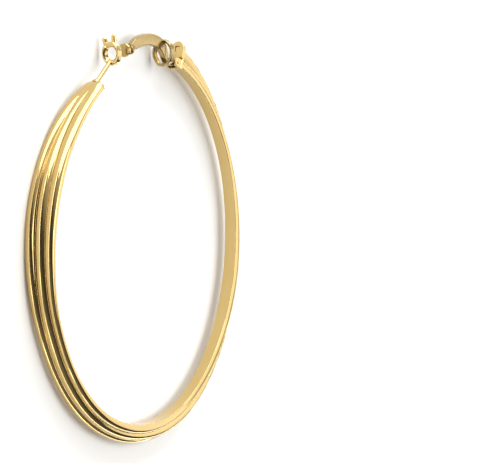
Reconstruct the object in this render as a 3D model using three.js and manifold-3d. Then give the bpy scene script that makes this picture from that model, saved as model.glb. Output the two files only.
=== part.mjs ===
// A large clip-on hoop earring in polished yellow metal.
// Millimetres, +Z up. The hoop lies on its side: its own axis is Z, +Y is the way up
// as worn, and +X runs from the front end of the hoop to its hinge end.
// Angles round the hoop are in degrees: 0 at the back, 90 at the top, 180 at the front.

import * as THREE from 'three';
import { mergeVertices } from 'three/addons/utils/BufferGeometryUtils.js';
import Module from 'manifold-3d';

const wasm = await Module();
wasm.setup();

const ROUND_SIDES = 14;

// The hoop is open at the top, between its front end and its hinge end.
const FRONT_END = 119;
const HINGE_END = 429;
const BAND_STEP = 3;
const RIB_STEPS = 6;

// One row for each section of the band, in mm. inner: radius of the flat inner face.
// half: half of the width. front and rear: heights of the two side walls.
// z1, r1 and z2, r2: place and height of the two grooves between the three ribs.
// rib: how far a rib swells, as a share of its own width.
const BAND = [
  { at: 118, inner: 29.6, half: 1.6, front: 0.7, z1: 0.55, r1: 1.4, z2: -0.55, r2: 1.4, rear: 1, rib: 0.04 },
  { at: 135, inner: 30, half: 2.2, front: 0.7, z1: 0.3, r1: 0.9, z2: -0.7, r2: 1, rear: 1.3, rib: 0.2 },
  { at: 150, inner: 30.4, half: 2.5, front: 0.7, z1: 0.5, r1: 0.8, z2: -1.1, r2: 0.8, rear: 1.2, rib: 0.25 },
  { at: 165, inner: 30.5, half: 2.6, front: 0.7, z1: 0.8, r1: 0.75, z2: -1, r2: 0.8, rear: 1.2, rib: 0.3 },
  { at: 180, inner: 30.35, half: 2.5, front: 0.7, z1: 0.9, r1: 0.7, z2: -0.8, r2: 0.8, rear: 1.2, rib: 0.3 },
  { at: 195, inner: 30.1, half: 2.2, front: 0.6, z1: 0.9, r1: 0.7, z2: -0.7, r2: 1, rear: 1.3, rib: 0.3 },
  { at: 210, inner: 29.8, half: 2, front: 0.6, z1: 0.9, r1: 0.8, z2: -0.6, r2: 1.3, rear: 1.5, rib: 0.25 },
  { at: 240, inner: 29.6, half: 1.7, front: 0.5, z1: 0.7, r1: 1.2, z2: -0.4, r2: 2, rear: 2.3, rib: 0.25 },
  { at: 255, inner: 29.5, half: 1.5, front: 0.6, z1: 0.65, r1: 1.4, z2: -0.3, r2: 2.4, rear: 2.8, rib: 0.25 },
  { at: 270, inner: 29.6, half: 1.3, front: 0.7, z1: 0.6, r1: 1.6, z2: -0.2, r2: 2.8, rear: 3.2, rib: 0.25 },
  { at: 285, inner: 30, half: 1.1, front: 0.6, z1: 0.65, r1: 1.5, z2: -0.3, r2: 3.2, rear: 3.1, rib: 0.25 },
  { at: 300, inner: 30.2, half: 1, front: 0.5, z1: 0.7, r1: 1.4, z2: -0.4, r2: 3.3, rear: 2.5, rib: 0.25 },
  { at: 345, inner: 29.7, half: 1.1, front: 0.9, z1: 0.75, r1: 1.8, z2: -0.5, r2: 2.7, rear: 1.7, rib: 0.2 },
  { at: 360, inner: 29.5, half: 1.1, front: 0.9, z1: 0.8, r1: 1.7, z2: -0.5, r2: 2.6, rear: 1.5, rib: 0.2 },
  { at: 390, inner: 29.85, half: 1, front: 0.6, z1: 0.75, r1: 1.2, z2: -0.5, r2: 2.3, rear: 1.5, rib: 0.2 },
  { at: 429, inner: 30.8, half: 0.9, front: 0.7, z1: 0.7, r1: 1.2, z2: -0.4, r2: 3.8, rear: 2.5, rib: 0.3 },
];

// Clearances between pieces.
const SEAT_GAP = 0.1;
const PIN_GAP = 0.12;

// Front post: its foot, domed collar and wire, in the plane of the hoop.
const FOOT = { radius: 0.26, depth: 1.1, from_centre: 30.42 };
const COLLAR = { radius: 0.75, height: 0.8 };
const WIRE_RADIUS = 0.38;
const WIRE_TOP = [-10.1, 30.1];

// Front ring that the ear rests on, with two round-ended prongs.
const RING = { x: -9.6, y: 31.4, half_wide: 1.6, half_tall: 1.95, hole: 1.05, deep: 1.15, lean: -11 };
const PRONG = { radius: 0.42, base_z: 0.76, base_y: 1.5 };
const PRONG_TIPS = [
  { z: 0.91, y: 2.62 },
  { z: -0.9, y: 2.4 },
];

// Hinge bracket on the hinge end. ahead: distance in front of the end of the hoop.
// from_centre: distance from the centre of the hoop.
const PIVOT = { ahead: 1.74, from_centre: 31.1 };
const PLATE = { half_wide: 1.25, low: 30.35, top: 35.05, thick: 0.5 };
const HOOD = { low: 32.1, ahead: 0.95, slot_half: 0.4, slot_top: 34.2, slot_deep: 0.3 };
const EAR = { radius: 0.8, inside: 0.75, outside: 1.15 };
const PEG = { radius: 0.4, depth: 1.3, from_centre: 31.9 };
const PIN = { radius: 0.3, half_long: 1.27, chamfer: 0.08 };

// Clip arm: a flat arch on edge, with a tongue that runs down inside a loop.
const ARM_HALF_THICK = 0.45;
const LOOP = { x: 6.8, y: 31.2, half_wide: 1.9, half_tall: 2.25, wall: 0.42, deep: 1.2 };
const BARREL = { radius: 0.62, half_long: 0.6 };
const STRAP = { from_x: 7.0, low: 29.02, high: 29.5 };
const EYE = { x: -3.95, y: 31.85, radius: 0.75, thick: 0.4, neck_half: 0.4, neck_top: 33.0 };

// Ear pad: a disc on a stem, held in the eye by a ball behind it.
const PAD = { front: -5.95, back: -5.4, radius: 1.12, edge: 0.14 };
const STEM_RADIUS = 0.28;
const BEAD = { front: -4.62, back: -4.3, radius: 0.46 };
const BALL = { x: -3.24, radius: 0.4 };

const GOLD = { color: 0xd9b45a, roughness: 0.16, metalness: 1 };
const GOLD_POST = { color: 0xe2c36e, roughness: 0.18, metalness: 1 };
const GOLD_CLIP = { color: 0xc9a452, roughness: 0.24, metalness: 1 };

const radians = THREE.MathUtils.degToRad;

// A smooth value of one column of the band's table at any angle.
function bandValue(column, angle) {
  let i = 0;
  while (i < BAND.length - 2 && BAND[i + 1].at < angle) {
    i += 1;
  }
  const a = BAND[i];
  const b = BAND[i + 1];
  const before = BAND[Math.max(i - 1, 0)];
  const after = BAND[Math.min(i + 2, BAND.length - 1)];
  const span = b.at - a.at;
  const slopeA = ((b[column] - before[column]) / (b.at - before.at)) * span;
  const slopeB = ((after[column] - a[column]) / (after.at - a.at)) * span;
  const u = (angle - a.at) / span;
  const rise = u * u * (3 - 2 * u);
  const startBend = u * (1 - u) * (1 - u);
  const endBend = u * u * (u - 1);
  return a[column] * (1 - rise) + b[column] * rise + slopeA * startBend + slopeB * endBend;
}

// Points of one rib, a shallow arc from one groove or wall to the next.
function ribPoints(from, to, swell) {
  const across = to.clone().sub(from);
  const outward = new THREE.Vector2(across.y, -across.x).multiplyScalar(swell);
  const points = [];
  for (let i = 0; i < RIB_STEPS; i += 1) {
    const u = i / RIB_STEPS;
    const height = 4 * u * (1 - u);
    points.push(from.clone().addScaledVector(across, u).addScaledVector(outward, height));
  }
  return points;
}

// The band's section at an angle: x is along the hoop's axis, y is height above the inner face.
function bandSection(angle) {
  const value = (column) => bandValue(column, angle);
  const half = value('half');
  const frontTop = new THREE.Vector2(half, value('front'));
  const groove1 = new THREE.Vector2(value('z1'), value('r1'));
  const groove2 = new THREE.Vector2(value('z2'), value('r2'));
  const rearTop = new THREE.Vector2(-half, value('rear'));
  const swell = value('rib');
  return [
    new THREE.Vector2(half, 0),
    ...ribPoints(frontTop, groove1, swell),
    ...ribPoints(groove1, groove2, swell),
    ...ribPoints(groove2, rearTop, swell),
    rearTop,
    new THREE.Vector2(-half, 0),
    new THREE.Vector2(0, 0),
  ];
}

// A closed band through all the sections, with a fan of faces on each end.
function bandGeometry() {
  const steps = Math.round((HINGE_END - FRONT_END) / BAND_STEP);
  const positions = [];
  const index = [];
  let count = 0;
  for (let s = 0; s <= steps; s += 1) {
    const angle = FRONT_END + ((HINGE_END - FRONT_END) * s) / steps;
    const section = bandSection(angle);
    const inner = bandValue('inner', angle);
    count = section.length;
    for (const point of section) {
      const radius = inner + point.y;
      positions.push(radius * Math.cos(radians(angle)), radius * Math.sin(radians(angle)), point.x);
    }
  }
  for (let s = 0; s < steps; s += 1) {
    for (let p = 0; p < count; p += 1) {
      const a = s * count + p;
      const b = s * count + ((p + 1) % count);
      index.push(a, b, a + count, b, b + count, a + count);
    }
  }
  const middle = count - 1;
  for (let p = 0; p < count - 2; p += 1) {
    const last = steps * count;
    index.push(middle, p + 1, p);
    index.push(last + middle, last + p, last + p + 1);
  }
  const geometry = new THREE.BufferGeometry();
  geometry.setAttribute('position', new THREE.Float32BufferAttribute(positions, 3));
  geometry.setIndex(index);
  return geometry;
}

// Closed mesh to solid and back.
function toSolid(geometry) {
  const bare = geometry.clone();
  bare.deleteAttribute('normal');
  bare.deleteAttribute('uv');
  const merged = mergeVertices(bare, 1e-5);
  return new wasm.Manifold(new wasm.Mesh({
    numProp: 3,
    vertProperties: new Float32Array(merged.attributes.position.array),
    triVerts: new Uint32Array(merged.index.array),
  }));
}

function toGeometry(solid) {
  const mesh = solid.getMesh();
  const geometry = new THREE.BufferGeometry();
  geometry.setAttribute('position', new THREE.BufferAttribute(mesh.vertProperties, 3));
  geometry.setIndex(new THREE.BufferAttribute(mesh.triVerts, 1));
  geometry.computeVertexNormals();
  return geometry;
}

function joined(solids) {
  return solids.reduce((whole, solid) => whole.add(solid));
}

// A round rod between two points.
function rod(from, to, radius) {
  const start = new THREE.Vector3(...from);
  const along = new THREE.Vector3(...to).sub(start);
  const geometry = new THREE.CylinderGeometry(radius, radius, along.length(), ROUND_SIDES);
  geometry.translate(0, along.length() / 2, 0);
  geometry.applyQuaternion(
    new THREE.Quaternion().setFromUnitVectors(new THREE.Vector3(0, 1, 0), along.normalize()),
  );
  return geometry.translate(start.x, start.y, start.z);
}

function ball(at, radius) {
  return new THREE.SphereGeometry(radius, ROUND_SIDES, ROUND_SIDES / 2).translate(...at);
}

// A block between two opposite corners.
function block(low, high) {
  const size = high.map((value, i) => value - low[i]);
  const middle = high.map((value, i) => (value + low[i]) / 2);
  return new THREE.BoxGeometry(...size).translate(...middle);
}

// An outline in the plane of the hoop, thick along the hoop's axis.
function flatPlate(shape, halfThick, curveSegments = 12) {
  const settings = { depth: 2 * halfThick, bevelEnabled: false, curveSegments };
  return new THREE.ExtrudeGeometry(shape, settings).translate(0, 0, -halfThick);
}

// An outline across the hoop's plane, thick along X: the outline's x becomes Z.
function standingPlate(shape, thick) {
  const settings = { depth: thick, bevelEnabled: false, curveSegments: ROUND_SIDES / 2 };
  return new THREE.ExtrudeGeometry(shape, settings).translate(0, 0, -thick / 2).rotateY(radians(-90));
}

// An oval ring round the X axis, centred on the origin.
function ovalRing(halfWide, halfTall, holeHalfWide, holeHalfTall, deep) {
  const shape = new THREE.Shape().absellipse(0, 0, halfWide, halfTall, 0, 2 * Math.PI, false, 0);
  shape.holes.push(new THREE.Path().absellipse(0, 0, holeHalfWide, holeHalfTall, 0, 2 * Math.PI, true, 0));
  return standingPlate(shape, deep);
}

// Both ends of the hoop have a local frame: x runs straight out of the front end, or
// straight into the hinge end, and y is the distance from the hoop's centre.
function atEnd(geometry, angle) {
  return geometry.rotateZ(radians(angle - 90));
}

function hoopBand() {
  const holeStart = -FOOT.depth - SEAT_GAP;
  const footHole = atEnd(
    rod([holeStart, FOOT.from_centre, 0], [1, FOOT.from_centre, 0], FOOT.radius + SEAT_GAP),
    FRONT_END,
  );
  const pegHole = atEnd(
    rod([-1, PEG.from_centre, 0], [PEG.depth + SEAT_GAP, PEG.from_centre, 0], PEG.radius + SEAT_GAP),
    HINGE_END,
  );
  return toSolid(bandGeometry()).subtract(toSolid(footHole)).subtract(toSolid(pegHole));
}

function collarGeometry() {
  const { radius, height } = COLLAR;
  const profile = [
    new THREE.Vector2(0, 0),
    new THREE.Vector2(radius, 0),
    new THREE.Vector2(radius, height * 0.45),
    new THREE.Vector2(radius * 0.88, height * 0.78),
    new THREE.Vector2(radius * 0.55, height),
    new THREE.Vector2(0, height),
  ];
  const collar = new THREE.LatheGeometry(profile, ROUND_SIDES).rotateZ(radians(-90));
  return atEnd(collar.translate(SEAT_GAP, FOOT.from_centre, 0), FRONT_END);
}

function prongGeometries(tip) {
  const side = Math.sign(tip.z);
  const base = [0, PRONG.base_y, side * PRONG.base_z];
  const top = [0, tip.y, tip.z];
  return [rod(base, top, PRONG.radius), ball(top, PRONG.radius)];
}

function frontPost() {
  const outward = new THREE.Vector2(Math.cos(radians(FRONT_END)), Math.sin(radians(FRONT_END)));
  const seat = outward.clone().multiplyScalar(FOOT.from_centre);
  const ahead = new THREE.Vector2(outward.y, -outward.x);
  const wireStart = seat.clone().addScaledVector(ahead, SEAT_GAP + COLLAR.height * 0.6);
  const foot = atEnd(
    rod([-FOOT.depth, FOOT.from_centre, 0], [COLLAR.height / 2, FOOT.from_centre, 0], FOOT.radius),
    FRONT_END,
  );
  const wire = rod([wireStart.x, wireStart.y, 0], [...WIRE_TOP, 0], WIRE_RADIUS);
  const ring = [
    ovalRing(RING.half_wide, RING.half_tall, RING.hole, RING.hole, RING.deep),
    ...PRONG_TIPS.flatMap(prongGeometries),
  ];
  for (const geometry of ring) {
    geometry.rotateX(radians(RING.lean)).translate(RING.x, RING.y, 0);
  }
  return joined([foot, collarGeometry(), wire, ...ring].map(toSolid));
}

// A plate with a round top, standing across the hinge end.
function tabGeometry(low, ahead, behind) {
  const { half_wide: half, top } = PLATE;
  const shape = new THREE.Shape();
  shape.moveTo(-half, low);
  shape.lineTo(half, low);
  shape.lineTo(half, top - half);
  shape.absarc(0, top - half, half, 0, Math.PI, false);
  shape.lineTo(-half, low);
  return standingPlate(shape, ahead - behind).translate(-(ahead + behind) / 2, 0, 0);
}

function pinHole() {
  const reach = 2 * EAR.outside;
  const { ahead, from_centre: radius } = PIVOT;
  return rod([-ahead, radius, -reach], [-ahead, radius, reach], PIN.radius + PIN_GAP);
}

function hingeBracket() {
  const { ahead, from_centre: radius } = PIVOT;
  const bodies = [
    tabGeometry(PLATE.low, PLATE.thick + SEAT_GAP, SEAT_GAP),
    tabGeometry(HOOD.low, HOOD.ahead, SEAT_GAP),
    rod([-SEAT_GAP - PLATE.thick / 2, PEG.from_centre, 0], [PEG.depth, PEG.from_centre, 0], PEG.radius),
  ];
  for (const side of [-1, 1]) {
    const [low, high] = [side * EAR.inside, side * EAR.outside].sort((a, b) => a - b);
    bodies.push(rod([-ahead, radius, low], [-ahead, radius, high], EAR.radius));
    bodies.push(block(
      [-ahead, radius - EAR.radius, low],
      [-SEAT_GAP - PLATE.thick / 2, radius + EAR.radius, high],
    ));
  }
  const slot = block(
    [-HOOD.ahead - 1, HOOD.low - 1, -HOOD.slot_half],
    [-HOOD.ahead + HOOD.slot_deep, HOOD.slot_top, HOOD.slot_half],
  );
  const whole = joined(bodies.map(toSolid)).subtract(toSolid(slot)).subtract(toSolid(pinHole()));
  return toSolid(atEnd(toGeometry(whole), HINGE_END));
}

function hingePin() {
  const { radius, half_long: half, chamfer } = PIN;
  const profile = [
    new THREE.Vector2(0, -half),
    new THREE.Vector2(radius - chamfer, -half),
    new THREE.Vector2(radius, -half + chamfer),
    new THREE.Vector2(radius, half - chamfer),
    new THREE.Vector2(radius - chamfer, half),
    new THREE.Vector2(0, half),
  ];
  const pin = new THREE.LatheGeometry(profile, ROUND_SIDES).rotateX(radians(90));
  return toSolid(atEnd(pin.translate(-PIVOT.ahead, PIVOT.from_centre, 0), HINGE_END));
}

// The arch's outline, from the pad end over the top and down to the tongue's tip.
function archShape() {
  const shape = new THREE.Shape();
  shape.moveTo(-4.2, 32.7);
  shape.splineThru([
    new THREE.Vector2(-2.6, 33.75),
    new THREE.Vector2(-0.4, 34.35),
    new THREE.Vector2(1.8, 34.5),
    new THREE.Vector2(4.0, 34.2),
    new THREE.Vector2(5.9, 33.5),
    new THREE.Vector2(7.2, 32.4),
  ]);
  shape.lineTo(7.45, 31.0);
  shape.lineTo(7.4, 29.6);
  shape.lineTo(7.15, 29.55);
  shape.splineThru([
    new THREE.Vector2(6.1, 30.8),
    new THREE.Vector2(5.3, 31.6),
    new THREE.Vector2(4.2, 32.15),
    new THREE.Vector2(1.9, 32.6),
    new THREE.Vector2(-0.4, 32.45),
    new THREE.Vector2(-2.5, 31.95),
  ]);
  shape.lineTo(-3.6, 32.5);
  shape.lineTo(-4.2, 32.7);
  return shape;
}

function clipArm() {
  const loop = ovalRing(
    LOOP.half_wide,
    LOOP.half_tall,
    LOOP.half_wide - LOOP.wall,
    LOOP.half_tall - LOOP.wall,
    LOOP.deep,
  ).translate(LOOP.x, LOOP.y, 0);
  const barrel = atEnd(
    rod(
      [-PIVOT.ahead, PIVOT.from_centre, -BARREL.half_long],
      [-PIVOT.ahead, PIVOT.from_centre, BARREL.half_long],
      BARREL.radius,
    ),
    HINGE_END,
  );
  const pivotX = PIVOT.from_centre * Math.cos(radians(HINGE_END)) - PIVOT.ahead * Math.sin(radians(HINGE_END));
  const strap = block([STRAP.from_x, STRAP.low, -BARREL.half_long], [pivotX, STRAP.high, BARREL.half_long]);
  const eyeFront = EYE.x - EYE.thick / 2;
  const eyeBack = EYE.x + EYE.thick / 2;
  const eye = rod([eyeFront, EYE.y, 0], [eyeBack, EYE.y, 0], EYE.radius);
  const neck = block([eyeFront, EYE.y, -EYE.neck_half], [eyeBack, EYE.neck_top, EYE.neck_half]);
  const eyeHole = rod([eyeFront - 1, EYE.y, 0], [eyeBack + 0.2, EYE.y, 0], STEM_RADIUS + PIN_GAP);
  const solids = [flatPlate(archShape(), ARM_HALF_THICK, 4), loop, barrel, strap, eye, neck].map(toSolid);
  return joined(solids)
    .subtract(toSolid(atEnd(pinHole(), HINGE_END)))
    .subtract(toSolid(eyeHole));
}

// Turned piece round the X axis: the disc, its stem, the bead and the ball.
function clipPad() {
  const { front, back, radius, edge } = PAD;
  const profile = [
    new THREE.Vector2(0, front),
    new THREE.Vector2(radius - edge, front),
    new THREE.Vector2(radius, front + edge),
    new THREE.Vector2(radius, back - edge),
    new THREE.Vector2(radius - edge, back),
    new THREE.Vector2(STEM_RADIUS, back),
    new THREE.Vector2(STEM_RADIUS, BEAD.front),
    new THREE.Vector2(BEAD.radius, BEAD.front + 0.08),
    new THREE.Vector2(BEAD.radius, BEAD.back - 0.08),
    new THREE.Vector2(STEM_RADIUS, BEAD.back),
    new THREE.Vector2(STEM_RADIUS, BALL.x),
    new THREE.Vector2(0, BALL.x),
  ];
  const turned = new THREE.LatheGeometry(profile, ROUND_SIDES).rotateZ(radians(-90));
  turned.translate(0, EYE.y, 0);
  return joined([toSolid(turned), toSolid(ball([BALL.x, EYE.y, 0], BALL.radius))]);
}

function piece(name, solid, finish) {
  const mesh = new THREE.Mesh(toGeometry(solid), new THREE.MeshStandardMaterial(finish));
  mesh.name = name;
  return mesh;
}

// The earring stands with its lowest point on the ground and its middle over the origin.
const earring = new THREE.Group();
earring.add(
  piece('hoop_band', hoopBand(), GOLD),
  piece('front_post', frontPost(), GOLD_POST),
  piece('hinge_bracket', hingeBracket(), GOLD_POST),
  piece('hinge_pin', hingePin(), GOLD_CLIP),
  piece('clip_arm', clipArm(), GOLD_CLIP),
  piece('clip_pad', clipPad(), GOLD_POST),
);
const bounds = new THREE.Box3().setFromObject(earring);
earring.position.set(-(bounds.min.x + bounds.max.x) / 2, -(bounds.min.y + bounds.max.y) / 2, -bounds.min.z);

export default earring;
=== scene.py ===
import math

import bmesh
import bpy
from mathutils import Matrix, Vector


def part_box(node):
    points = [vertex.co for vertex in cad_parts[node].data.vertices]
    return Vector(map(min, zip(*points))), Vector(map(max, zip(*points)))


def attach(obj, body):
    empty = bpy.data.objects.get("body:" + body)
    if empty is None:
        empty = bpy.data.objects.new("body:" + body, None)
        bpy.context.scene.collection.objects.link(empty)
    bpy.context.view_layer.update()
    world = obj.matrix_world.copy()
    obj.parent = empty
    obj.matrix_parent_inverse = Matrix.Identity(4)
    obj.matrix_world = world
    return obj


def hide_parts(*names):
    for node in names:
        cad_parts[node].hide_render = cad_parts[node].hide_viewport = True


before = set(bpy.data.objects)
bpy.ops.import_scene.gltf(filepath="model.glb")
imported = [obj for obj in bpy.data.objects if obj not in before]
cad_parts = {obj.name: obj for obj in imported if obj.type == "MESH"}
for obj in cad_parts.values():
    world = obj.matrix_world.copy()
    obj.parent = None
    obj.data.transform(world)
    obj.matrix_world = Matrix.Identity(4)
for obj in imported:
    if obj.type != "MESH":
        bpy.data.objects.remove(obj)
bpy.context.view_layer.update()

# The open band, by angle round the hoop. inner: radius of the inner face. half: half of the
# width. front, rear: heights of the side walls. z1, r1, z2, r2: the two grooves. rib: swell.
FRONT_END = 119
HINGE_END = 429
BAND = [
    dict(at=118, inner=29.6, half=1.6, front=0.7, z1=0.55, r1=1.4, z2=-0.55, r2=1.4, rear=1, rib=0.04),
    dict(at=135, inner=30, half=2.2, front=0.7, z1=0.3, r1=0.9, z2=-0.7, r2=1, rear=1.3, rib=0.2),
    dict(at=150, inner=30.4, half=2.5, front=0.7, z1=0.5, r1=0.8, z2=-1.1, r2=0.8, rear=1.2, rib=0.25),
    dict(at=165, inner=30.5, half=2.6, front=0.7, z1=0.8, r1=0.75, z2=-1, r2=0.8, rear=1.2, rib=0.3),
    dict(at=180, inner=30.35, half=2.5, front=0.7, z1=0.9, r1=0.7, z2=-0.8, r2=0.8, rear=1.2, rib=0.3),
    dict(at=195, inner=30.1, half=2.2, front=0.6, z1=0.9, r1=0.7, z2=-0.7, r2=1, rear=1.3, rib=0.3),
    dict(at=210, inner=29.8, half=2, front=0.6, z1=0.9, r1=0.8, z2=-0.6, r2=1.3, rear=1.5, rib=0.25),
    dict(at=240, inner=29.6, half=1.7, front=0.5, z1=0.7, r1=1.2, z2=-0.4, r2=2, rear=2.3, rib=0.25),
    dict(at=255, inner=29.5, half=1.5, front=0.6, z1=0.65, r1=1.4, z2=-0.3, r2=2.4, rear=2.8, rib=0.25),
    dict(at=270, inner=29.6, half=1.3, front=0.7, z1=0.6, r1=1.6, z2=-0.2, r2=2.8, rear=3.2, rib=0.25),
    dict(at=285, inner=30, half=1.1, front=0.6, z1=0.65, r1=1.5, z2=-0.3, r2=3.2, rear=3.1, rib=0.25),
    dict(at=300, inner=30.2, half=1, front=0.5, z1=0.7, r1=1.4, z2=-0.4, r2=3.3, rear=2.5, rib=0.25),
    dict(at=345, inner=29.7, half=1.1, front=0.9, z1=0.75, r1=1.8, z2=-0.5, r2=2.7, rear=1.7, rib=0.2),
    dict(at=360, inner=29.5, half=1.1, front=0.9, z1=0.8, r1=1.7, z2=-0.5, r2=2.6, rear=1.5, rib=0.2),
    dict(at=390, inner=29.85, half=1, front=0.6, z1=0.75, r1=1.2, z2=-0.5, r2=2.3, rear=1.5, rib=0.2),
    dict(at=429, inner=30.8, half=0.9, front=0.7, z1=0.7, r1=1.2, z2=-0.4, r2=3.8, rear=2.5, rib=0.3),
]
EDGE_SOFTNESS = 0.13
GROOVE_SOFTNESS = 0.06
END_SOFTNESS = 0.09

# Radius of the plain loop that the band is spun from, before each point goes to its section.
SPUN_RADIUS = 30

# Post at the front end: collar, wire, ring and prongs.
COLLAR_FROM_CENTRE = 30.42
COLLAR_RADIUS = 0.75
COLLAR_HEIGHT = 0.9
WIRE_RADIUS = 0.38
WIRE_TOP = Vector((-10.1, 30.1, 0))
RING_MIDDLE = Vector((-9.6, 31.4, 0))
RING_OUTER = (1.6, 1.95)
RING_HOLE = (1.05, 1.05)
RING_DEEP = 1.15
RING_LEAN = -11
RING_DISH = 0.22
PRONG_RADIUS = 0.43
PRONGS = [((1.5, 0.76), (2.62, 0.91)), ((1.5, -0.76), (2.4, -0.9))]

# Hinge bracket at the other end, with the pin through its ears.
PIVOT_AHEAD = 1.74
PIVOT_FROM_CENTRE = 31.1
PLATE_HALF = 1.25
PLATE_LOW = 30.35
PLATE_TOP = 35.05
PLATE_AHEAD = 0.6
HOOD_LOW = 32.1
HOOD_AHEAD = 0.95
SLOT_HALF = 0.4
SLOT_TOP = 34.2
SLOT_DEEP = 0.3
EAR_RADIUS = 0.8
EAR_SIDES = (0.75, 1.15)
PIN_RADIUS = 0.3
PIN_HALF = 1.27

# Clip arm: an arch on edge, a loop round its tongue, a strap and a barrel on the pin.
ARM_HALF = 0.45
ARCH_TOP = [
    (-4.2, 32.7), (-2.6, 33.75), (-0.4, 34.35), (1.8, 34.5), (4.0, 34.2), (5.9, 33.5), (7.2, 32.4),
]
TONGUE = [(7.45, 31.0), (7.4, 29.6)]
ARCH_UNDER = [
    (7.15, 29.55), (6.1, 30.8), (5.3, 31.6), (4.2, 32.15), (1.9, 32.6), (-0.4, 32.45), (-2.5, 31.95),
]
ARCH_NOSE = (-3.6, 32.5)
LOOP_MIDDLE = Vector((6.8, 31.2, 0))
LOOP_OUTER = (1.9, 2.25)
LOOP_WALL = 0.42
LOOP_DEEP = 1.2
BARREL_RADIUS = 0.62
BARREL_HALF = 0.6
STRAP_FROM = 7.0
STRAP_LOW = 29.02
STRAP_HIGH = 29.5
EYE_MIDDLE = Vector((-3.95, 31.85, 0))
EYE_RADIUS = 0.75
EYE_THICK = 0.4
NECK_TOP = 33.0

# Sunken panel on each side of the arch: share of the arch left above and below it, and depth.
PANEL_MARGIN = 0.13
PANEL_DEPTH = 0.05

# Ear pad on its stem, from the face that meets the ear to the ball behind the eye.
PAD_FRONT = -5.95
PAD_BACK = -5.4
PAD_RADIUS = 1.12
STEM_RADIUS = 0.28
BEAD_FRONT = -4.62
BEAD_BACK = -4.3
BEAD_RADIUS = 0.46
BALL_X = -3.24
BALL_RADIUS = 0.4

# Grain of the skins that join soldered shapes. The bracket's blank is joined before its slot
# is cut, and the slotted blank is softened after.
POST_GRAIN = 0.055
BRACKET_BLANK_GRAIN = 0.05
BRACKET_GRAIN = 0.045
ARM_GRAIN = 0.05

# Polish of the plate: patches of tone, dull patches, and rubbing marks with their depth in
# metres. The band's marks follow its own lengthwise map.
TONE_SCALE = 160
HAZE_SCALE = 700
MARKS = dict(scale=1500, stretch=(1, 1, 7), strength=0.12, depth=0.00002)
BAND_MARKS = dict(scale=2.6, stretch=(0.05, 3.2, 1), strength=0.08, depth=0.00008)

# Paper under the earring.
FLOOR_SIZE = 4
PAPER_COLOUR = (0.92, 0.92, 0.91, 1)

# The room's light. TENT_SIDE points to its brightest side, and the stops go from the far side
# to that one, each a place and a level. The horizon's glow is full below HORIZON_LOW, gone
# above HORIZON_HIGH.
TENT_SIDE = (0.35, 0.85, 0.39)
TENT_STOPS = [(0.0, 0.34), (0.3, 0.2), (0.48, 0.06), (0.6, 0.14), (0.72, 0.5), (0.9, 0.95)]
HORIZON_GLOW = 7.0
HORIZON_LOW = 0.02
HORIZON_HIGH = 0.11

# Lamps that face the earring: name, place and size in metres, and power in watts.
LAMPS = [
    ("overhead", (0.1, 0.1, 1.5), (1.3, 1.3), 15),
    ("top", (-0.1, 1.3, 0.55), (2.0, 0.8), 18),
    ("hinge side", (1.4, -0.12, 0.8), (1.1, 0.7), 3),
]

# The camera, in metres and millimetres of lens. Its direction, aim and lens were fitted so that
# the hoop falls on its place in the photograph.
CAMERA_TOWARDS = Vector((-0.8555, 0.0839, 0.5109))
CAMERA_RIGHT = Vector((0.5128, 0, 0.8585))
CAMERA_AWAY = 0.5136
AIM_RIGHT = 0.017643
AIM_UP = 0.002081
SENSOR_WIDTH = 36
LENS = 225.39


def turn(degrees, axis):
    return Matrix.Rotation(math.radians(degrees), 4, axis)


def at_end(angle):
    """Local frame of an end of the hoop: x runs along the hoop there, y outwards."""
    return turn(angle - 90, "Z")


def hoop_middle():
    """Where the hoop's centre lies over the floor, found from the frame's hinge pin."""
    low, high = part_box("hinge_pin")
    pin = (Vector(low) + Vector(high)) / 2 * 1000
    return pin - at_end(HINGE_END) @ Vector((-PIVOT_AHEAD, PIVOT_FROM_CENTRE, 0))


HOOP_MIDDLE = hoop_middle()
TO_FLOOR = Matrix.Scale(0.001, 4) @ Matrix.Translation(HOOP_MIDDLE)


def between(a, b, share):
    return a + (b - a) * share


# The band


def band_value(column, angle):
    """A smooth value of one column of the band's table at any angle."""
    row = 0
    while row < len(BAND) - 2 and BAND[row + 1]["at"] < angle:
        row += 1
    a, b = BAND[row], BAND[row + 1]
    before = BAND[max(row - 1, 0)]
    after = BAND[min(row + 2, len(BAND) - 1)]
    span = b["at"] - a["at"]
    slope_a = (b[column] - before[column]) / (b["at"] - before["at"]) * span
    slope_b = (after[column] - a[column]) / (after["at"] - a["at"]) * span
    u = (angle - a["at"]) / span
    rise = u * u * (3 - 2 * u)
    return between(a[column], b[column], rise) + slope_a * u * (1 - u) ** 2 + slope_b * u * u * (u - 1)


def stretch(start, end, swell, count, trim_start, trim_end):
    """Points of one face of the section, swollen outwards and cut short at both ends."""
    across = end - start
    outward = Vector((across.y, -across.x)) * swell
    first = trim_start / across.length
    last = 1 - trim_end / across.length
    points = []
    for i in range(count):
        u = between(first, last, i / (count - 1))
        points.append(start + across * u + outward * 4 * u * (1 - u))
    return points


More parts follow.
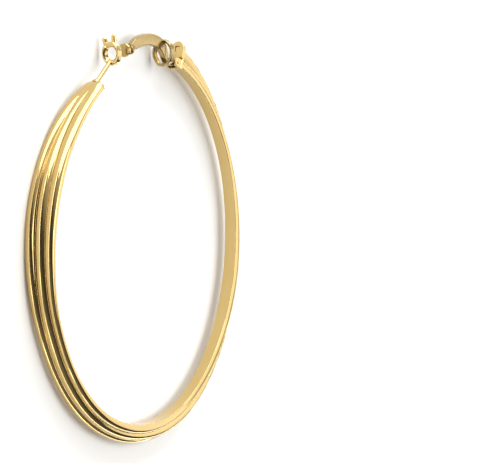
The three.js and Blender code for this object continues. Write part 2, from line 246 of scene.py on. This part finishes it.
def band_section(angle):
    """The section at an angle: x is along the hoop's axis, y is height above the inner face."""
    value = {column: band_value(column, angle) for column in BAND[0] if column != "at"}
    corners = [
        (Vector((value["half"], 0)), EDGE_SOFTNESS),
        (Vector((value["half"], value["front"])), EDGE_SOFTNESS),
        (Vector((value["z1"], value["r1"])), GROOVE_SOFTNESS),
        (Vector((value["z2"], value["r2"])), GROOVE_SOFTNESS),
        (Vector((-value["half"], value["rear"])), EDGE_SOFTNESS),
        (Vector((-value["half"], 0)), EDGE_SOFTNESS),
    ]
    swells = [0, value["rib"], value["rib"], value["rib"], 0, 0]
    counts = [4, 13, 13, 13, 4, 6]
    faces = []
    for i, (corner, soft) in enumerate(corners):
        following, next_soft = corners[(i + 1) % len(corners)]
        faces.append(stretch(corner, following, swells[i], counts[i], soft, next_soft))
    points = []
    for i, face in enumerate(faces):
        points += face
        corner = corners[(i + 1) % len(corners)][0]
        start, end = face[-1], faces[(i + 1) % len(faces)][0]
        for u in (0.25, 0.5, 0.75):
            points.append(start * (1 - u) ** 2 + corner * 2 * u * (1 - u) + end * u * u)
    return points


def map_lengthwise(bm, spot, count):
    """A map for the polishing marks: along the band one way and across its section the other."""
    polish = bm.loops.layers.uv.new("lengthwise")
    for face in bm.faces:
        spots = [loop.vert[spot] for loop in face.loops]
        for loop in face.loops:
            across = loop.vert[spot]
            if across == 0 and max(spots) > 2:
                across = count
            angle = math.degrees(math.atan2(loop.vert.co.y, loop.vert.co.x))
            along = angle if angle > FRONT_END - 0.5 else angle + 360
            loop[polish].uv = (along / 10, across / 10)


def make_band():
    """A plain loop is spun round the hoop's axis, and each point then goes to its section."""
    bm = bmesh.new()
    spot = bm.verts.layers.int.new("spot")
    start = math.radians(FRONT_END)
    first = []
    for i, point in enumerate(band_section(FRONT_END)):
        radius = SPUN_RADIUS + point.y
        vert = bm.verts.new((radius * math.cos(start), radius * math.sin(start), point.x))
        vert[spot] = i
        first.append(vert)
    edges = [bm.edges.new((first[i - 1], first[i])) for i in range(len(first))]
    steps = HINGE_END - FRONT_END
    bmesh.ops.spin(
        bm,
        geom=first + edges,
        cent=(0, 0, 0),
        axis=(0, 0, 1),
        angle=math.radians(steps),
        steps=steps,
        use_duplicate=False,
    )
    sections = {}
    for vert in bm.verts:
        angle = round(math.degrees(math.atan2(vert.co.y, vert.co.x)))
        if angle < FRONT_END:
            angle += 360
        if angle not in sections:
            sections[angle] = (band_section(angle), band_value("inner", angle))
        points, inner = sections[angle]
        point = points[vert[spot]]
        radius = inner + point.y
        turned_to = math.radians(angle)
        vert.co = (radius * math.cos(turned_to), radius * math.sin(turned_to), point.x)
    map_lengthwise(bm, spot, len(first))
    rim = [edge for edge in bm.edges if edge.is_boundary]
    bmesh.ops.holes_fill(bm, edges=rim, sides=0)
    bmesh.ops.recalc_face_normals(bm, faces=bm.faces)
    rim = [edge for edge in bm.edges if any(len(face.verts) > 4 for face in edge.link_faces)]
    bmesh.ops.bevel(
        bm,
        geom=rim,
        offset=END_SOFTNESS,
        offset_type="OFFSET",
        affect="EDGES",
        segments=3,
        profile=0.5,
        material=-1,
    )
    return bm


# Shapes that several pieces use


def turned(profile, sides=48):
    """A turned piece round the X axis, from (place along, radius) points."""
    bm = bmesh.new()
    verts = [bm.verts.new((along, radius, 0)) for along, radius in profile]
    edges = [bm.edges.new(pair) for pair in zip(verts, verts[1:])]
    bmesh.ops.spin(
        bm,
        geom=verts + edges,
        cent=(0, 0, 0),
        axis=(1, 0, 0),
        angle=2 * math.pi,
        steps=sides,
        use_merge=True,
        use_duplicate=False,
    )
    bmesh.ops.remove_doubles(bm, verts=bm.verts, dist=0.0005)
    bmesh.ops.recalc_face_normals(bm, faces=bm.faces)
    return bm


def soft_disc(front, back, radius, soft):
    """Profile of a disc whose rims are rounded."""
    points = [(front, 0)]
    for i in range(6):
        a = math.radians(18 * i)
        points.append((front + soft - soft * math.cos(a), radius - soft + soft * math.sin(a)))
    for i in range(6):
        a = math.radians(18 * i)
        points.append((back - soft + soft * math.sin(a), radius - soft + soft * math.cos(a)))
    points.append((back, 0))
    return points


def oval_ring(outer, hole, deep, soft, dish=0.0):
    """A ring round the X axis: spun round first, then drawn out to its two ovals.

    dish is how far the front face falls from its rim to the hole.
    """
    half = deep / 2
    corners = [(-half + dish, 1), (-half, 1.55), (-half, 2), (half, 2), (half, 1)]
    if not dish:
        corners.pop(1)
    bm = bmesh.new()
    profile = [bm.verts.new((x, radius, 0)) for x, radius in corners]
    edges = [bm.edges.new((profile[i - 1], profile[i])) for i in range(len(profile))]
    bmesh.ops.spin(
        bm,
        geom=profile + edges,
        cent=(0, 0, 0),
        axis=(1, 0, 0),
        angle=2 * math.pi,
        steps=72,
        use_merge=True,
        use_duplicate=False,
    )
    bmesh.ops.remove_doubles(bm, verts=bm.verts, dist=0.0005)
    for vert in bm.verts:
        radius = math.hypot(vert.co.y, vert.co.z)
        wide = between(hole[0], outer[0], radius - 1)
        tall = between(hole[1], outer[1], radius - 1)
        vert.co.y *= tall / radius
        vert.co.z *= wide / radius
    bmesh.ops.recalc_face_normals(bm, faces=bm.faces)
    rims = [edge for edge in bm.edges if edge.calc_face_angle() > math.radians(60)]
    bmesh.ops.bevel(
        bm, geom=rims, offset=soft, offset_type="OFFSET", affect="EDGES", segments=4, profile=0.5, material=-1
    )
    return bm


def rod(start, end, radius):
    """A round rod between two points."""
    start, end = Vector(start), Vector(end)
    bm = bmesh.new()
    bmesh.ops.create_cone(
        bm, cap_ends=True, segments=40, radius1=radius, radius2=radius, depth=(end - start).length
    )
    way = (end - start).to_track_quat("Z", "Y").to_matrix().to_4x4()
    bm.transform(Matrix.Translation((start + end) / 2) @ way)
    return bm


def ball(middle, radius):
    bm = bmesh.new()
    bmesh.ops.create_uvsphere(bm, u_segments=32, v_segments=20, radius=radius)
    bm.transform(Matrix.Translation(middle))
    return bm


def block(low, high, soft=0.0):
    """A box between two corners, with rounded edges."""
    low, high = Vector(low), Vector(high)
    bm = bmesh.new()
    bmesh.ops.create_cube(bm, size=1)
    bm.transform(Matrix.Translation((low + high) / 2) @ Matrix.Diagonal((high - low).to_4d()))
    if soft:
        bmesh.ops.bevel(
            bm,
            geom=bm.edges[:],
            offset=soft,
            offset_type="OFFSET",
            affect="EDGES",
            segments=3,
            profile=0.5,
            material=-1,
        )
    return bm


def plate(outline, half_thick, soft):
    """A flat plate in the plane of the hoop, from its outline, with soft rims."""
    bm = bmesh.new()
    verts = [bm.verts.new((x, y, -half_thick)) for x, y in outline]
    face = bm.faces.new(verts)
    lifted = bmesh.ops.extrude_face_region(bm, geom=[face])["geom"]
    top = [item for item in lifted if isinstance(item, bmesh.types.BMVert)]
    bmesh.ops.translate(bm, verts=top, vec=(0, 0, 2 * half_thick))
    bmesh.ops.recalc_face_normals(bm, faces=bm.faces)
    rims = [edge for edge in bm.edges if any(len(f.verts) > 4 for f in edge.link_faces)]
    bmesh.ops.bevel(
        bm, geom=rims, offset=soft, offset_type="OFFSET", affect="EDGES", segments=3, profile=0.5, material=-1
    )
    return bm


def gathered(shapes):
    """Several shapes in one mesh."""
    whole = bmesh.new()
    for shape in shapes:
        mesh = bpy.data.meshes.new("blank")
        shape.to_mesh(mesh)
        shape.free()
        whole.from_mesh(mesh)
        bpy.data.meshes.remove(mesh)
    return whole


def worked(bm, *steps):
    """The mesh after modifier steps, each given as (type, settings)."""
    mesh = bpy.data.meshes.new("blank")
    bm.to_mesh(mesh)
    bm.free()
    blank = bpy.data.objects.new("blank", mesh)
    bpy.context.collection.objects.link(blank)
    for kind, settings in steps:
        modifier = blank.modifiers.new(kind.lower(), kind)
        for key, value in settings.items():
            setattr(modifier, key, value)
    result = bmesh.new()
    result.from_object(blank, bpy.context.evaluated_depsgraph_get())
    bpy.data.objects.remove(blank)
    bpy.data.meshes.remove(mesh)
    return result


def cut_away(bm, shape):
    """The mesh less another shape."""
    mesh = bpy.data.meshes.new("cutter")
    shape.to_mesh(mesh)
    shape.free()
    cutter = bpy.data.objects.new("cutter", mesh)
    bpy.context.collection.objects.link(cutter)
    result = worked(bm, ("BOOLEAN", dict(operation="DIFFERENCE", solver="EXACT", object=cutter)))
    bpy.data.objects.remove(cutter)
    bpy.data.meshes.remove(mesh)
    return result


def melted(shapes, grain, rounds):
    """Shapes soldered into one skin with soft joins."""
    return worked(
        gathered(shapes),
        ("REMESH", dict(mode="VOXEL", voxel_size=grain)),
        ("SMOOTH", dict(factor=0.5, iterations=rounds)),
    )


def placed(bm, matrix):
    bm.transform(matrix)
    return bm


# The post at the front end


def make_post():
    collar = turned([
        (-0.02, 0), (-0.02, COLLAR_RADIUS + 0.06), (0.06, COLLAR_RADIUS),
        (COLLAR_HEIGHT * 0.45, COLLAR_RADIUS),
        (COLLAR_HEIGHT * 0.7, COLLAR_RADIUS * 0.92),
        (COLLAR_HEIGHT * 0.9, COLLAR_RADIUS * 0.74),
        (COLLAR_HEIGHT, COLLAR_RADIUS * 0.5), (COLLAR_HEIGHT, 0),
    ])
    seat = Vector((0, COLLAR_FROM_CENTRE, 0))
    seat_frame = at_end(FRONT_END)
    placed(collar, seat_frame @ Matrix.Translation(seat))
    wire_start = seat_frame @ (seat + Vector((COLLAR_HEIGHT * 0.6, 0, 0)))
    lean = Matrix.Translation(RING_MIDDLE) @ turn(RING_LEAN, "X")
    ring = placed(oval_ring(RING_OUTER, RING_HOLE, RING_DEEP, 0.2, RING_DISH), lean)
    prongs = []
    for (base_y, base_z), (tip_y, tip_z) in PRONGS:
        base, tip = Vector((0, base_y, base_z)), Vector((0, tip_y, tip_z))
        prongs += [placed(rod(base, tip, PRONG_RADIUS), lean), placed(ball(tip, PRONG_RADIUS), lean)]
    return melted([collar, rod(wire_start, WIRE_TOP, WIRE_RADIUS), ring, *prongs], POST_GRAIN, 5)


# The hinge bracket and its pin


def round_topped(low, ahead, behind):
    """A plate with a round top that stands across the end of the hoop."""
    half = PLATE_HALF
    outline = [(half, low), (-half, low)]
    for i in range(25):
        a = math.radians(180 - 7.5 * i)
        outline.append((half * math.cos(a), PLATE_TOP - half + half * math.sin(a)))
    bm = plate(outline, (ahead - behind) / 2, 0.1)
    standing = Matrix(((0, 0, 1, -(ahead + behind) / 2), (0, 1, 0, 0), (-1, 0, 0, 0), (0, 0, 0, 1)))
    return placed(bm, standing)


def make_bracket():
    shapes = [round_topped(PLATE_LOW, PLATE_AHEAD, 0.0), round_topped(HOOD_LOW, HOOD_AHEAD, 0.1)]
    for side in (-1, 1):
        low, high = sorted(side * z for z in EAR_SIDES)
        shapes.append(rod(
            (-PIVOT_AHEAD, PIVOT_FROM_CENTRE, low), (-PIVOT_AHEAD, PIVOT_FROM_CENTRE, high), EAR_RADIUS
        ))
        shapes.append(block(
            (-PIVOT_AHEAD, PIVOT_FROM_CENTRE - EAR_RADIUS, low), (-0.3, PIVOT_FROM_CENTRE + EAR_RADIUS, high)
        ))
    slot = block((-2.5, HOOD_LOW - 1, -SLOT_HALF), (-HOOD_AHEAD + SLOT_DEEP, SLOT_TOP, SLOT_HALF))
    joined = worked(gathered(shapes), ("REMESH", dict(mode="VOXEL", voxel_size=BRACKET_BLANK_GRAIN)))
    return placed(melted([cut_away(joined, slot)], BRACKET_GRAIN, 5), at_end(HINGE_END))


def make_pin():
    bm = turned(soft_disc(-PIN_HALF, PIN_HALF, PIN_RADIUS, 0.14), 32)
    upright = Matrix.Translation((-PIVOT_AHEAD, PIVOT_FROM_CENTRE, 0)) @ turn(90, "Y")
    return placed(bm, at_end(HINGE_END) @ upright)


# The clip arm and its pad


def smooth_line(points, fine=6):
    """A smooth line through points, each stretch cut into short steps."""
    line = []
    for i in range(len(points) - 1):
        a, b = Vector(points[i]), Vector(points[i + 1])
        before = Vector(points[max(i - 1, 0)])
        after = Vector(points[min(i + 2, len(points) - 1)])
        for step in range(fine):
            u = step / fine
            slope_a, slope_b = (b - before) / 2, (after - a) / 2
            rise = u * u * (3 - 2 * u)
            spot = between(a, b, rise) + slope_a * u * (1 - u) ** 2 + slope_b * u * u * (u - 1)
            line.append(tuple(spot))
    line.append(tuple(points[-1]))
    return line


def pressed_panel(side):
    """The bare sunken panel that runs along one side of the arch, as a shape to cut away."""
    top = smooth_line(ARCH_TOP)[5:-3]
    under = smooth_line(ARCH_UNDER)[::-1][5:-3]
    upper = [tuple(between(Vector(a), Vector(b), PANEL_MARGIN)) for a, b in zip(top, under)]
    lower = [tuple(between(Vector(a), Vector(b), 1 - PANEL_MARGIN)) for a, b in zip(top, under)]
    panel = plate(upper + lower[::-1], 2 * PANEL_DEPTH, 0.04)
    return placed(panel, Matrix.Translation((0, 0, side * (ARM_HALF + PANEL_DEPTH))))


def make_arm():
    outline = smooth_line(ARCH_TOP) + TONGUE + smooth_line(ARCH_UNDER) + [ARCH_NOSE]
    arch = plate(outline, ARM_HALF, 0.1)
    arch = cut_away(cut_away(arch, pressed_panel(1)), pressed_panel(-1))
    hole = (LOOP_OUTER[0] - LOOP_WALL, LOOP_OUTER[1] - LOOP_WALL)
    loop = placed(oval_ring(LOOP_OUTER, hole, LOOP_DEEP, 0.15), Matrix.Translation(LOOP_MIDDLE))
    hinge = at_end(HINGE_END)
    pivot = hinge @ Vector((-PIVOT_AHEAD, PIVOT_FROM_CENTRE, 0))
    barrel = rod(pivot + Vector((0, 0, -BARREL_HALF)), pivot + Vector((0, 0, BARREL_HALF)), BARREL_RADIUS)
    strap = block((STRAP_FROM, STRAP_LOW, -BARREL_HALF), (pivot.x, STRAP_HIGH, BARREL_HALF), 0.06)
    half_thick = EYE_THICK / 2
    eye = placed(turned(soft_disc(-half_thick, half_thick, EYE_RADIUS, 0.08)), Matrix.Translation(EYE_MIDDLE))
    neck = block(
        (EYE_MIDDLE.x - half_thick, EYE_MIDDLE.y, -0.4), (EYE_MIDDLE.x + half_thick, NECK_TOP, 0.4), 0.06
    )
    return gathered([arch, melted([loop, barrel, strap], ARM_GRAIN, 4), melted([eye, neck], ARM_GRAIN, 3)])


def make_pad():
    profile = soft_disc(PAD_FRONT, PAD_BACK, PAD_RADIUS, 0.14)[:-1]
    profile += [
        (PAD_BACK, STEM_RADIUS + 0.12), (PAD_BACK + 0.12, STEM_RADIUS), (BEAD_FRONT, STEM_RADIUS),
        (BEAD_FRONT + 0.06, BEAD_RADIUS - 0.04), (BEAD_FRONT + 0.12, BEAD_RADIUS),
        (BEAD_BACK - 0.12, BEAD_RADIUS), (BEAD_BACK - 0.06, BEAD_RADIUS - 0.04), (BEAD_BACK, STEM_RADIUS),
        (BALL_X - BALL_RADIUS * 0.74, STEM_RADIUS),
    ]
    for i in range(9):
        a = math.radians(138 - 17.25 * i)
        profile.append((BALL_X + BALL_RADIUS * math.cos(a), BALL_RADIUS * math.sin(a)))
    profile[-1] = (BALL_X + BALL_RADIUS, 0)
    return placed(turned(profile), Matrix.Translation((0, EYE_MIDDLE.y, 0)))


# Finishes


def noise(nodes, scale, detail):
    texture = nodes.new("ShaderNodeTexNoise")
    texture.inputs["Scale"].default_value = scale
    texture.inputs["Detail"].default_value = detail
    return texture


def gold_plate(name, colour, shine, lengthwise=False):
    """Polished plate: a slow change of tone, small dull patches and very fine rubbing marks.

    On the band the rubbing marks run lengthwise, as the polishing wheel left them.
    """
    material = bpy.data.materials.new(name)
    material.use_nodes = True
    nodes, links = material.node_tree.nodes, material.node_tree.links
    shader = nodes["Principled BSDF"]
    shader.inputs["Metallic"].default_value = 1.0
    place = nodes.new("ShaderNodeTexCoord")

    tone = noise(nodes, TONE_SCALE, 3)
    links.new(place.outputs["Object"], tone.inputs["Vector"])
    mix = nodes.new("ShaderNodeMix")
    mix.data_type = "RGBA"
    mix.inputs["A"].default_value = (*colour, 1)
    mix.inputs["B"].default_value = (colour[0] * 0.97, colour[1] * 0.9, colour[2] * 0.76, 1)
    links.new(tone.outputs["Fac"], mix.inputs["Factor"])
    links.new(mix.outputs["Result"], shader.inputs["Base Color"])

    haze = noise(nodes, HAZE_SCALE, 5)
    links.new(place.outputs["Object"], haze.inputs["Vector"])
    shine_range = nodes.new("ShaderNodeMapRange")
    shine_range.inputs["From Min"].default_value = 0.3
    shine_range.inputs["From Max"].default_value = 0.7
    shine_range.inputs["To Min"].default_value = shine * 0.8
    shine_range.inputs["To Max"].default_value = shine * 1.35
    links.new(haze.outputs["Fac"], shine_range.inputs["Value"])
    links.new(shine_range.outputs["Result"], shader.inputs["Roughness"])

    rubbing = BAND_MARKS if lengthwise else MARKS
    stretch_out = nodes.new("ShaderNodeMapping")
    stretch_out.inputs["Scale"].default_value = rubbing["stretch"]
    marks = noise(nodes, rubbing["scale"], 4)
    bump = nodes.new("ShaderNodeBump")
    bump.inputs["Strength"].default_value = rubbing["strength"]
    bump.inputs["Distance"].default_value = rubbing["depth"]
    if lengthwise:
        path = nodes.new("ShaderNodeUVMap")
        path.uv_map = "lengthwise"
        links.new(path.outputs["UV"], stretch_out.inputs["Vector"])
    else:
        links.new(place.outputs["Object"], stretch_out.inputs["Vector"])
    links.new(stretch_out.outputs["Vector"], marks.inputs["Vector"])
    links.new(marks.outputs["Fac"], bump.inputs["Height"])
    links.new(bump.outputs["Normal"], shader.inputs["Normal"])
    return material


def settle(bm, name, body, node, finish, sharp=50):
    """Moves a finished shape to its place and hands it to the frame."""
    bm.transform(TO_FLOOR)
    mesh = bpy.data.meshes.new(name)
    bm.to_mesh(mesh)
    bm.free()
    mesh.shade_smooth()
    mesh.set_sharp_from_angle(angle=math.radians(sharp))
    mesh.materials.append(finish)
    piece = bpy.data.objects.new(name, mesh)
    bpy.context.collection.objects.link(piece)
    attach(piece, body)
    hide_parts(node)
    return piece


band_gold = gold_plate("Band gold", (0.6, 0.45, 0.2), 0.08, lengthwise=True)
post_gold = gold_plate("Post gold", (0.64, 0.49, 0.23), 0.1)
bracket_gold = gold_plate("Bracket gold", (0.6, 0.45, 0.2), 0.12)
pin_gold = gold_plate("Pin gold", (0.58, 0.44, 0.2), 0.12)
# The arm is the same gold plate as the rest. Its colour is darker as painted shade: it stands in for the
# dimmer tone its flat sides take in this light.
shaded_arm_gold = gold_plate("Arm gold with painted shade", (0.4, 0.305, 0.14), 0.22)
pad_gold = gold_plate("Pad gold", (0.56, 0.43, 0.2), 0.12)

settle(make_band(), "band", "hoop", "hoop_band", band_gold, 60)
settle(make_post(), "post", "hoop", "front_post", post_gold)
settle(make_bracket(), "bracket", "hoop", "hinge_bracket", bracket_gold)
settle(make_pin(), "pin", "hoop", "hinge_pin", pin_gold)
settle(make_arm(), "arm", "clip", "clip_arm", shaded_arm_gold, 30)
settle(make_pad(), "pad", "clip", "clip_pad", pad_gold)


# Floor, light and camera


def make_floor():
    bm = bmesh.new()
    bmesh.ops.create_grid(bm, x_segments=1, y_segments=1, size=FLOOR_SIZE)
    mesh = bpy.data.meshes.new("floor")
    bm.to_mesh(mesh)
    bm.free()
    floor = bpy.data.objects.new("floor", mesh)
    bpy.context.collection.objects.link(floor)
    paper = bpy.data.materials.new("Pale paper")
    paper.use_nodes = True
    shader = paper.node_tree.nodes["Principled BSDF"]
    shader.inputs["Base Color"].default_value = PAPER_COLOUR
    shader.inputs["Roughness"].default_value = 0.9
    mesh.materials.append(paper)


def softbox(name, at, size, watts):
    """A wide lamp that faces the earring. at and size are in metres."""
    light = bpy.data.lights.new(name, "AREA")
    light.shape = "RECTANGLE"
    light.size, light.size_y = size
    light.energy = watts
    lamp = bpy.data.objects.new(name, light)
    lamp.location = at
    lamp.rotation_mode = "QUATERNION"
    lamp.rotation_quaternion = (-Vector(at)).to_track_quat("-Z", "Y")
    bpy.context.collection.objects.link(lamp)


def make_camera():
    """The photograph's angle to the earring, with the hoop left of the frame's middle."""
    towards = CAMERA_TOWARDS.normalized()
    right = CAMERA_RIGHT.normalized()
    up = towards.cross(right).normalized()
    middle = HOOP_MIDDLE * 0.001
    aim = middle + right * AIM_RIGHT + up * AIM_UP
    data = bpy.data.cameras.new("camera")
    data.sensor_width = SENSOR_WIDTH
    data.lens = LENS
    data.clip_start = 0.01
    data.clip_end = 20
    camera = bpy.data.objects.new("camera", data)
    camera.location = middle + towards * CAMERA_AWAY
    back = (camera.location - aim).normalized()
    side = up.cross(back).normalized()
    over = back.cross(side)
    camera.rotation_mode = "QUATERNION"
    camera.rotation_quaternion = Matrix((side, over, back)).transposed().to_quaternion()
    bpy.context.collection.objects.link(camera)
    bpy.context.scene.camera = camera


def make_world():
    """A dim room that is brightest towards the top of the earring, as a studio tent is."""
    world = bpy.data.worlds.new("studio")
    world.use_nodes = True
    nodes, links = world.node_tree.nodes, world.node_tree.links
    way = nodes.new("ShaderNodeTexCoord")
    along = nodes.new("ShaderNodeVectorMath")
    along.operation = "DOT_PRODUCT"
    along.inputs[1].default_value = TENT_SIDE
    links.new(way.outputs["Generated"], along.inputs[0])
    spread = nodes.new("ShaderNodeMapRange")
    spread.inputs["From Min"].default_value = -1
    links.new(along.outputs["Value"], spread.inputs["Value"])
    ramp = nodes.new("ShaderNodeValToRGB")
    ramp.color_ramp.elements[0].position = TENT_STOPS[0][0]
    ramp.color_ramp.elements[1].position = TENT_STOPS[-1][0]
    for place, _ in TENT_STOPS[1:-1]:
        ramp.color_ramp.elements.new(place)
    for element, (_, level) in zip(ramp.color_ramp.elements, TENT_STOPS):
        element.color = (level, level * 0.97, level * 0.93, 1)
    links.new(spread.outputs["Result"], ramp.inputs["Fac"])
    height = nodes.new("ShaderNodeSeparateXYZ")
    links.new(way.outputs["Generated"], height.inputs["Vector"])
    glow = nodes.new("ShaderNodeMapRange")
    glow.interpolation_type = "SMOOTHSTEP"
    glow.inputs["From Min"].default_value = HORIZON_LOW
    glow.inputs["From Max"].default_value = HORIZON_HIGH
    glow.inputs["To Min"].default_value = HORIZON_GLOW
    glow.inputs["To Max"].default_value = 0
    links.new(height.outputs["Z"], glow.inputs["Value"])
    total = nodes.new("ShaderNodeMix")
    total.data_type = "RGBA"
    total.blend_type = "ADD"
    total.inputs["Factor"].default_value = 1
    links.new(ramp.outputs["Color"], total.inputs["A"])
    links.new(glow.outputs["Result"], total.inputs["B"])
    links.new(total.outputs["Result"], nodes["Background"].inputs["Color"])
    bpy.context.scene.world = world
    bpy.context.scene.view_settings.view_transform = "Standard"


make_floor()
make_world()
for lamp_name, lamp_at, lamp_size, lamp_watts in LAMPS:
    softbox(lamp_name, lamp_at, lamp_size, lamp_watts)
make_camera()
